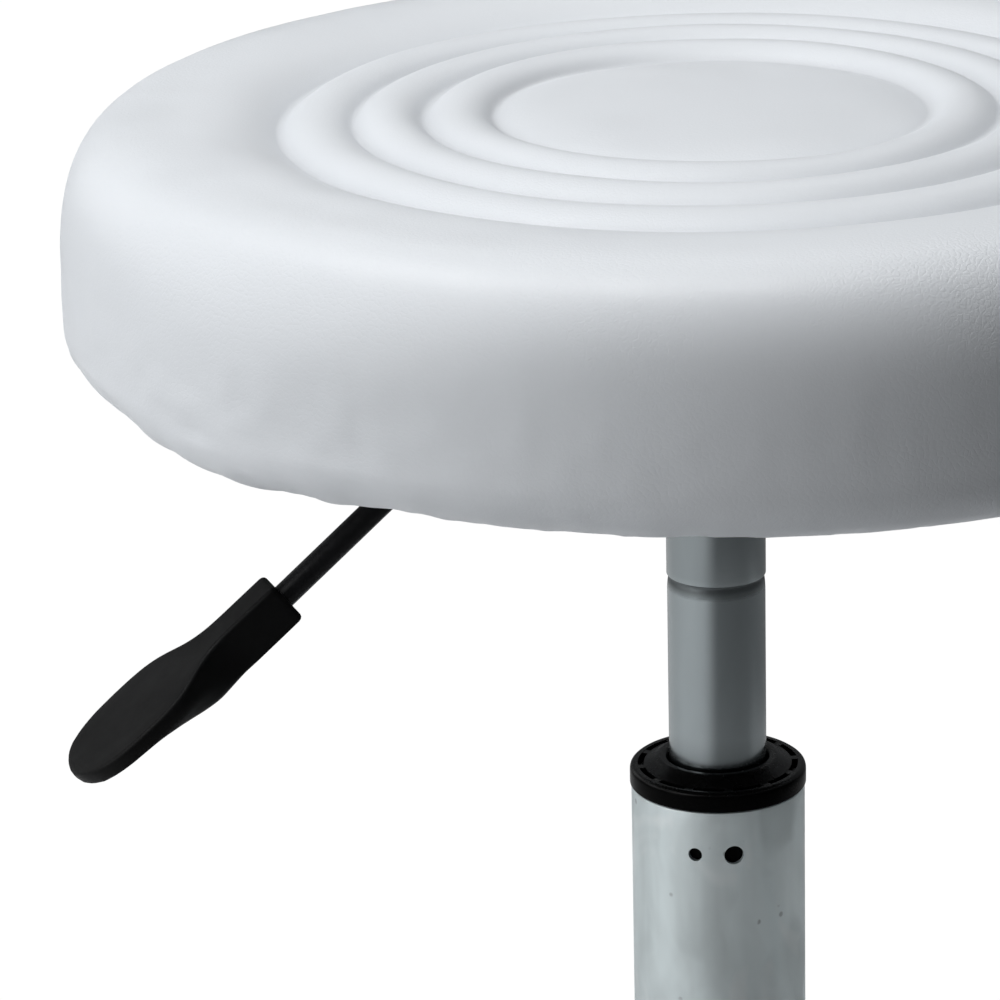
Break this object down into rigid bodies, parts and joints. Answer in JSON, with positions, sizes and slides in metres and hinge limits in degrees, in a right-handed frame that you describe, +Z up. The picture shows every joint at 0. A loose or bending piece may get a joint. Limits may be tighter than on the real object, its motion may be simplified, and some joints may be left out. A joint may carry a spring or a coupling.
{
  "type": "pedicure stool",
  "caption": "Round padded seat on a side-lever gas lift over a star base with twin-wheel casters; the seat swivels and rises, and each caster swivels and rolls.",
  "frame": {"origin": "on the floor, under the column axis", "axes": "+Z up along the column; -Y is the front, towards leg 1; +X is the sitter's side opposite the lever's side"},
  "size_m": [0.4396, 0.4436, 0.4624],
  "materials": {
    "white_leather": "soft white leatherette with a fine pebbled grain, low sheen",
    "foam": "cut polyurethane foam",
    "plywood": "bare birch plywood",
    "black_fleece": "black non-woven dust cover",
    "polished_alloy": "polished cast aluminium, open underneath",
    "satin_chrome": "satin chrome plate with faint smudges",
    "satin_steel": "satin grey gas spring cylinder",
    "steel": "machined steel",
    "zinc_plate": "bright zinc plate",
    "brass": "turned brass",
    "black_paint": "satin black powder coat",
    "black_plastic": "moulded black nylon, fine texture",
    "wheel_polymer": "black polyurethane tread on a nylon wheel",
    "rubber": "matt black rubber"
  },
  "bodies": {
    "base": {"star_base": "polished_alloy", "outer_tube": "satin_chrome", "guide_bush": "black_plastic", "bearing_washer_lower": "steel", "clip_washer": "zinc_plate", "caster_stem_1": "steel", "caster_stem_2": "steel", "caster_stem_3": "steel", "caster_stem_4": "steel", "caster_stem_5": "steel"},
    "piston": {"piston_rod": "satin_chrome", "piston_head": "steel", "bearing_washer_upper": "steel", "rubber_bumper": "rubber", "retaining_clip": "steel"},
    "cage": {"ball_cage": "brass"},
    "seat": {"gas_cylinder": "satin_steel", "rod_guide": "black_plastic", "pressure_tube": "steel", "valve_body": "brass", "taper_socket": "black_paint", "seat_plate": "black_paint", "lever_bracket": "black_paint", "lever_pivot_pin": "zinc_plate", "plate_bolt_1": "zinc_plate", "plate_bolt_2": "zinc_plate", "plate_bolt_3": "zinc_plate", "plate_bolt_4": "zinc_plate", "tee_nut_1": "zinc_plate", "tee_nut_2": "zinc_plate", "tee_nut_3": "zinc_plate", "tee_nut_4": "zinc_plate", "seat_board": "plywood", "dust_cover": "black_fleece", "seat_foam": "foam", "seat_cover": "white_leather"},
    "valve_pin": {"release_pin": "steel"},
    "lever": {"lever_rod": "black_paint", "lever_handle": "black_plastic"},
    "caster_1": {"caster_body_1": "black_plastic", "caster_axle_1": "steel"},
    "wheel_1_left_body": {"wheel_1_left": "wheel_polymer"},
    "wheel_1_right_body": {"wheel_1_right": "wheel_polymer"},
    "caster_2": {"caster_body_2": "black_plastic", "caster_axle_2": "steel"},
    "wheel_2_left_body": {"wheel_2_left": "wheel_polymer"},
    "wheel_2_right_body": {"wheel_2_right": "wheel_polymer"},
    "caster_3": {"caster_body_3": "black_plastic", "caster_axle_3": "steel"},
    "wheel_3_left_body": {"wheel_3_left": "wheel_polymer"},
    "wheel_3_right_body": {"wheel_3_right": "wheel_polymer"},
    "caster_4": {"caster_body_4": "black_plastic", "caster_axle_4": "steel"},
    "wheel_4_left_body": {"wheel_4_left": "wheel_polymer"},
    "wheel_4_right_body": {"wheel_4_right": "wheel_polymer"},
    "caster_5": {"caster_body_5": "black_plastic", "caster_axle_5": "steel"},
    "wheel_5_left_body": {"wheel_5_left": "wheel_polymer"},
    "wheel_5_right_body": {"wheel_5_right": "wheel_polymer"}
  },
  "joints": [
    {"name": "seat_swivel", "type": "hinge", "parent": "base", "child": "piston", "pos_m": [0, 0, 0.0705], "axis": [0, 0, 1], "continuous": true},
    {"name": "lift_height", "type": "slide", "parent": "piston", "child": "seat", "axis": [0, 0, 1], "range_m": [-0.06, 0.04]},
    {"name": "lever_tilt", "type": "hinge", "parent": "seat", "child": "lever", "pos_m": [-0.02782, -0.01124, 0.3718], "axis": [-0.3746, 0.9272, 0], "range_deg": [0, 8]},
    {"name": "release_press", "type": "slide", "parent": "seat", "child": "valve_pin", "axis": [0, 0, -1], "range_m": [0, 0.0045]},
    {"name": "thrust_cage_spin", "type": "hinge", "parent": "base", "child": "cage", "pos_m": [0, 0, 0.0684], "axis": [0, 0, 1], "continuous": true},
    {"name": "swivel_caster_1", "type": "hinge", "parent": "base", "child": "caster_1", "pos_m": [0, -0.208, 0.058], "axis": [0, 0, 1], "continuous": true},
    {"name": "wheel_spin_1_left", "type": "hinge", "parent": "caster_1", "child": "wheel_1_left_body", "pos_m": [0, -0.1855, 0.025], "axis": [-1, 0, 0], "continuous": true},
    {"name": "wheel_spin_1_right", "type": "hinge", "parent": "caster_1", "child": "wheel_1_right_body", "pos_m": [0, -0.1855, 0.025], "axis": [-1, 0, 0], "continuous": true},
    {"name": "swivel_caster_2", "type": "hinge", "parent": "base", "child": "caster_2", "pos_m": [0.19782, -0.06428, 0.058], "axis": [0, 0, 1], "continuous": true},
    {"name": "wheel_spin_2_left", "type": "hinge", "parent": "caster_2", "child": "wheel_2_left_body", "pos_m": [0.19782, -0.04178, 0.025], "axis": [-1, 0, 0], "continuous": true},
    {"name": "wheel_spin_2_right", "type": "hinge", "parent": "caster_2", "child": "wheel_2_right_body", "pos_m": [0.19782, -0.04178, 0.025], "axis": [-1, 0, 0], "continuous": true},
    {"name": "swivel_caster_3", "type": "hinge", "parent": "base", "child": "caster_3", "pos_m": [0.12226, 0.16828, 0.058], "axis": [0, 0, 1], "continuous": true},
    {"name": "wheel_spin_3_left", "type": "hinge", "parent": "caster_3", "child": "wheel_3_left_body", "pos_m": [0.12226, 0.19078, 0.025], "axis": [-1, 0, 0], "continuous": true},
    {"name": "wheel_spin_3_right", "type": "hinge", "parent": "caster_3", "child": "wheel_3_right_body", "pos_m": [0.12226, 0.19078, 0.025], "axis": [-1, 0, 0], "continuous": true},
    {"name": "swivel_caster_4", "type": "hinge", "parent": "base", "child": "caster_4", "pos_m": [-0.12226, 0.16828, 0.058], "axis": [0, 0, 1], "continuous": true},
    {"name": "wheel_spin_4_left", "type": "hinge", "parent": "caster_4", "child": "wheel_4_left_body", "pos_m": [-0.12226, 0.19078, 0.025], "axis": [-1, 0, 0], "continuous": true},
    {"name": "wheel_spin_4_right", "type": "hinge", "parent": "caster_4", "child": "wheel_4_right_body", "pos_m": [-0.12226, 0.19078, 0.025], "axis": [-1, 0, 0], "continuous": true},
    {"name": "swivel_caster_5", "type": "hinge", "parent": "base", "child": "caster_5", "pos_m": [-0.19782, -0.06428, 0.058], "axis": [0, 0, 1], "continuous": true},
    {"name": "wheel_spin_5_left", "type": "hinge", "parent": "caster_5", "child": "wheel_5_left_body", "pos_m": [-0.19782, -0.04178, 0.025], "axis": [-1, 0, 0], "continuous": true},
    {"name": "wheel_spin_5_right", "type": "hinge", "parent": "caster_5", "child": "wheel_5_right_body", "pos_m": [-0.19782, -0.04178, 0.025], "axis": [-1, 0, 0], "continuous": true}
  ],
  "couplings": [
    {"joint": "release_press", "follows": "lever_tilt", "m_per_rad": 0.03},
    {"joint": "thrust_cage_spin", "follows": "seat_swivel", "ratio": 0.5}
  ]
}
